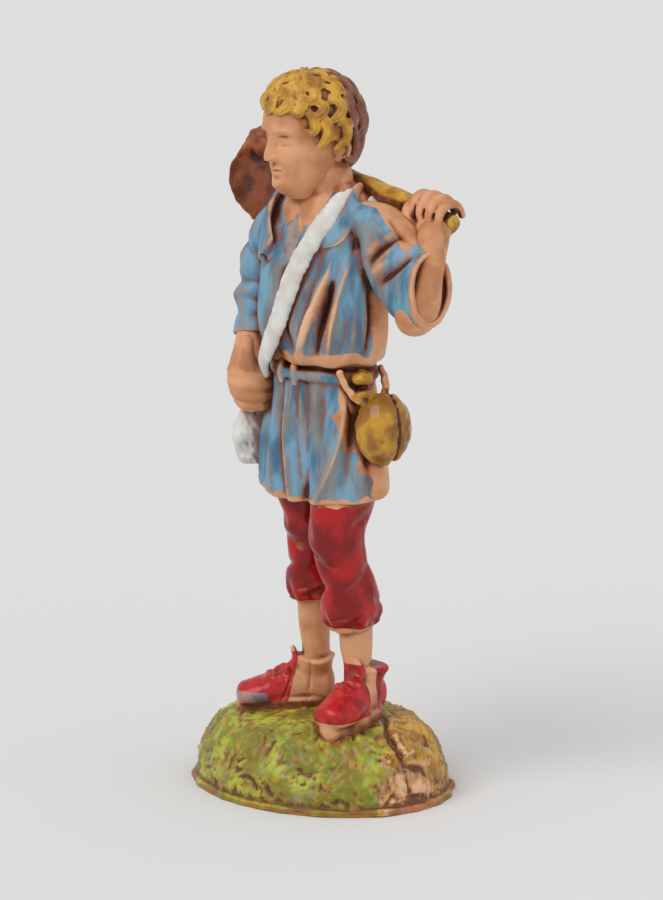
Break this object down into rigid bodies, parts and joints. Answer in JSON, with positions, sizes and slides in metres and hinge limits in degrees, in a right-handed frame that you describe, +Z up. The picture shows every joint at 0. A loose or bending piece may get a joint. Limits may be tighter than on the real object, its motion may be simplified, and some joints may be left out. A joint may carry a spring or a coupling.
{
  "type": "crib figure",
  "caption": "Small moulded and painted crib figure of a young digger who carries a hoe across the shoulders, standing on a grassy mound.",
  "frame": {"origin": "centre of the mound's flat underside", "axes": "+Z up, the figure faces -Y, and its left hand is at +X"},
  "size_m": [0.0399, 0.0314, 0.0967],
  "materials": {
    "painted_plastic": "flesh-coloured moulded plastic, hand painted with worn satin and gloss enamels and a brown wash"
  },
  "bodies": {
    "root": {"figurine": "painted_plastic"}
  },
  "joints": []
}
